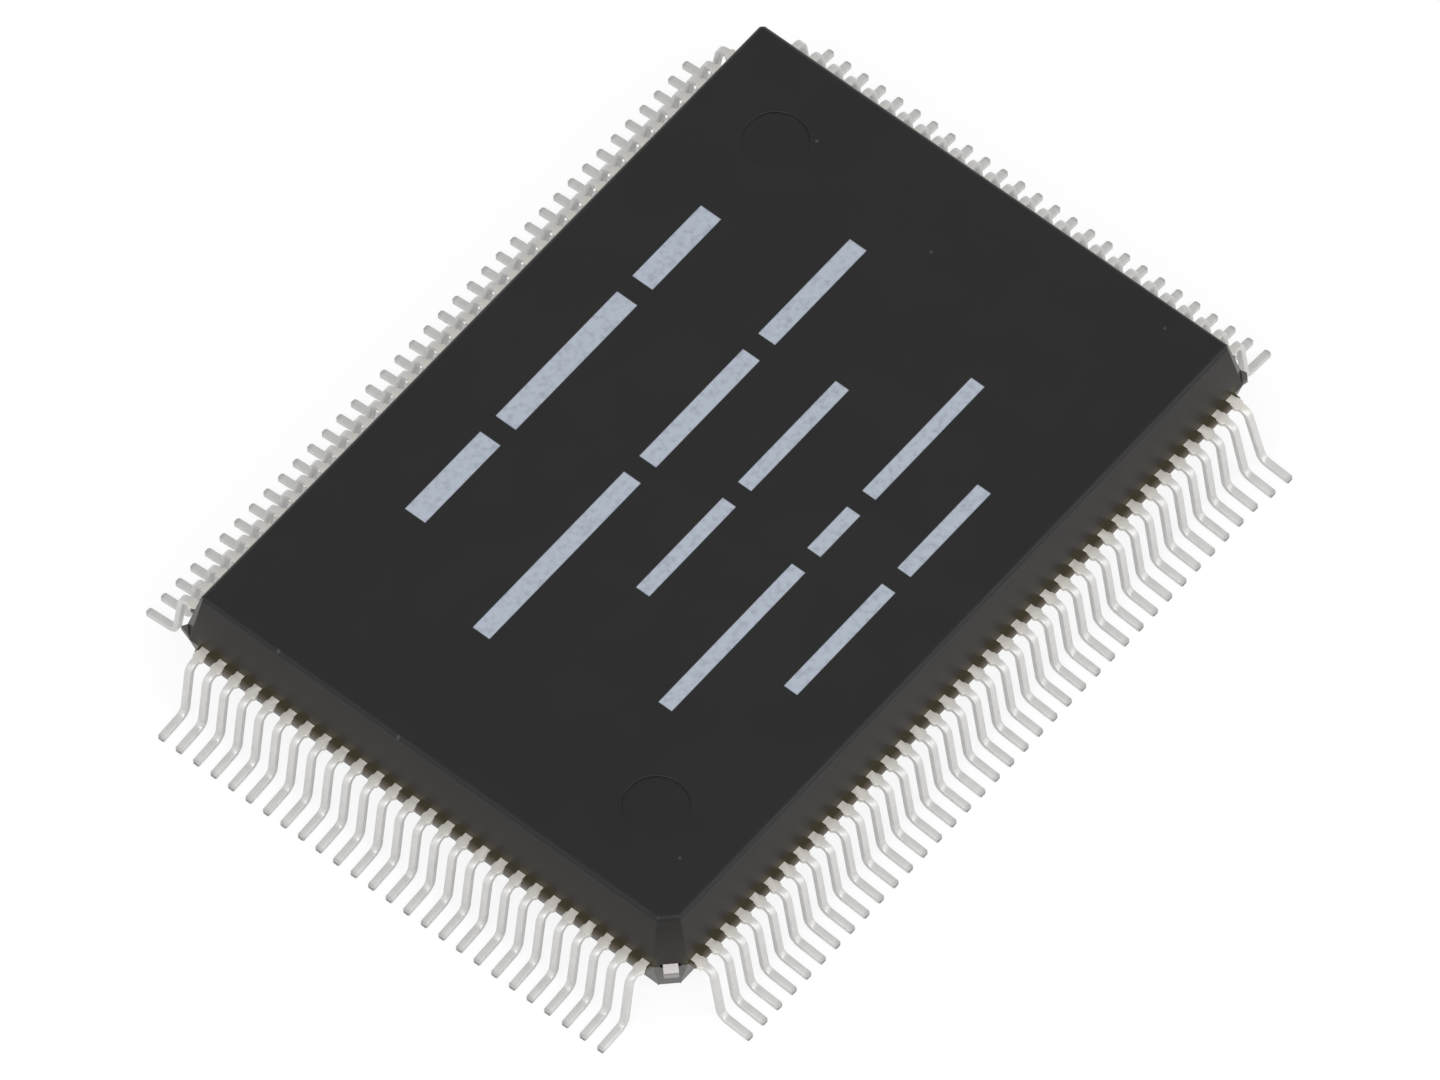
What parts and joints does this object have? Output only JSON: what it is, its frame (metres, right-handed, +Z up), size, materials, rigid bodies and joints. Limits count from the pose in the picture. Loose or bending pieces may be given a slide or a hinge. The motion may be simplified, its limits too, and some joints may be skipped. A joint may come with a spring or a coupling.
{
  "type": "quad flat pack integrated circuit",
  "caption": "Surface-mount interface chip: a drafted black resin body with gull-wing leads on all four sides, wired inside to a die on a paddle.",
  "frame": {"origin": "centre of the footprint on the seating plane, which the toes of the straight leads just touch", "axes": "+X along the long sides, +Y across, +Z up out of the board; the first lead's cut corner is at -X, -Y"},
  "size_m": [0.0232, 0.0174, 0.0032],
  "materials": {
    "resin": "fine matt moulded epoxy",
    "tinned_leads": "matt tin plating",
    "alloy": "bare sheet, sheared ends",
    "adhesive": "silver-filled adhesive",
    "silicon": "polished",
    "gold": "drawn wire"
  },
  "bodies": {
    "root": {"mould_body": "resin", "leads_front": "tinned_leads", "leads_right": "tinned_leads", "leads_back": "tinned_leads", "leads_left": "tinned_leads", "die_paddle": "alloy", "die_attach": "adhesive", "silicon_die": "silicon", "bond_wires_front": "gold", "bond_wires_right": "gold", "bond_wires_back": "gold", "bond_wires_left": "gold"}
  },
  "joints": []
}
